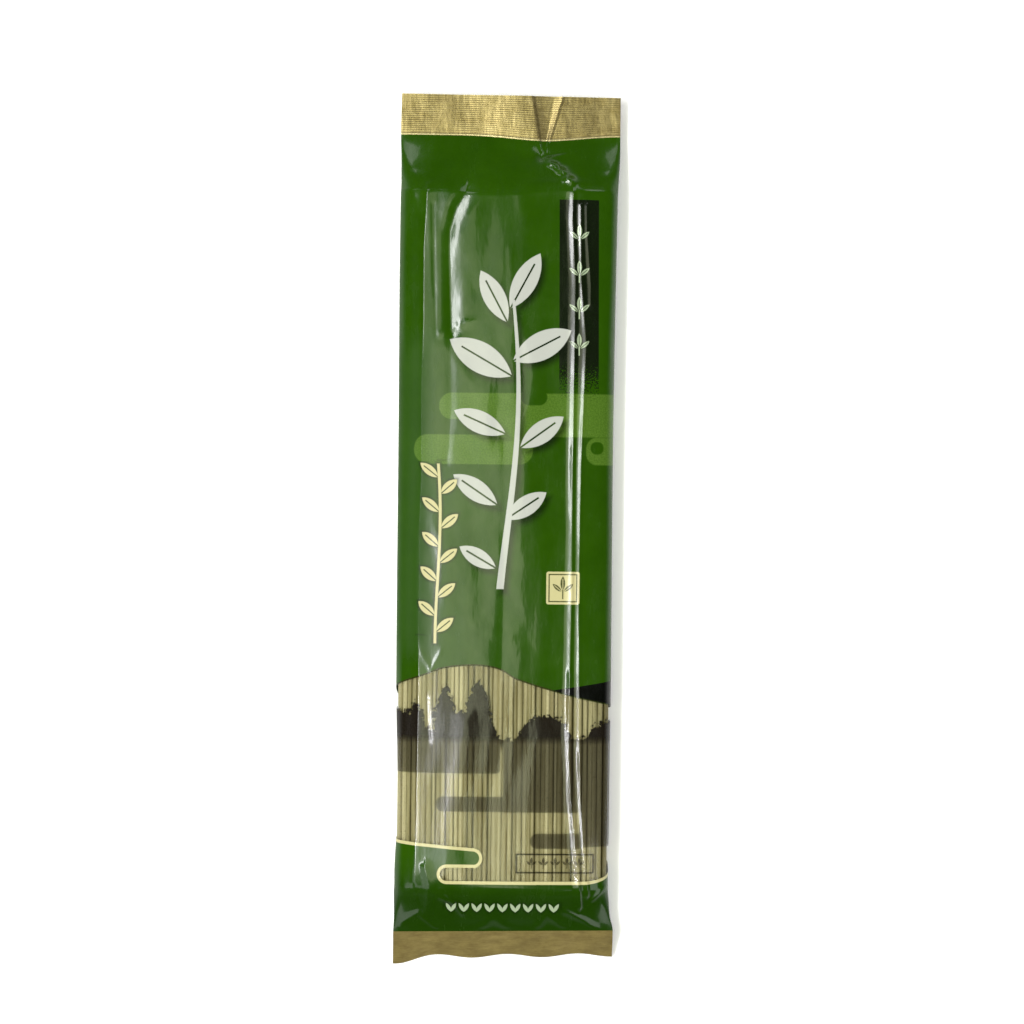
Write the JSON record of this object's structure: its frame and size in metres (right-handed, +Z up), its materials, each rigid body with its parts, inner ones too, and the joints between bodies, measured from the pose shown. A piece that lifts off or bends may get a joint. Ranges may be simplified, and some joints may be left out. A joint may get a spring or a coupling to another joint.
{
  "type": "dried noodle pack",
  "caption": "Flat film pack of straight dried noodles, with crimped end seals, a pleat at one end, a wavy other end and a clear window over the noodles.",
  "frame": {"origin": "middle of the pack's footprint, on the surface that it lies on", "axes": "+Z up out of the printed front, +Y along the pack towards the pleated end seal, +X across the pack"},
  "size_m": [0.0708, 0.28, 0.0164],
  "materials": {
    "green_film": "glossy printed film",
    "gold_seal": "satin metallic film",
    "noodles": "matt dry dough"
  },
  "bodies": {
    "root": {"noodle_pack": "green_film"}
  },
  "joints": []
}
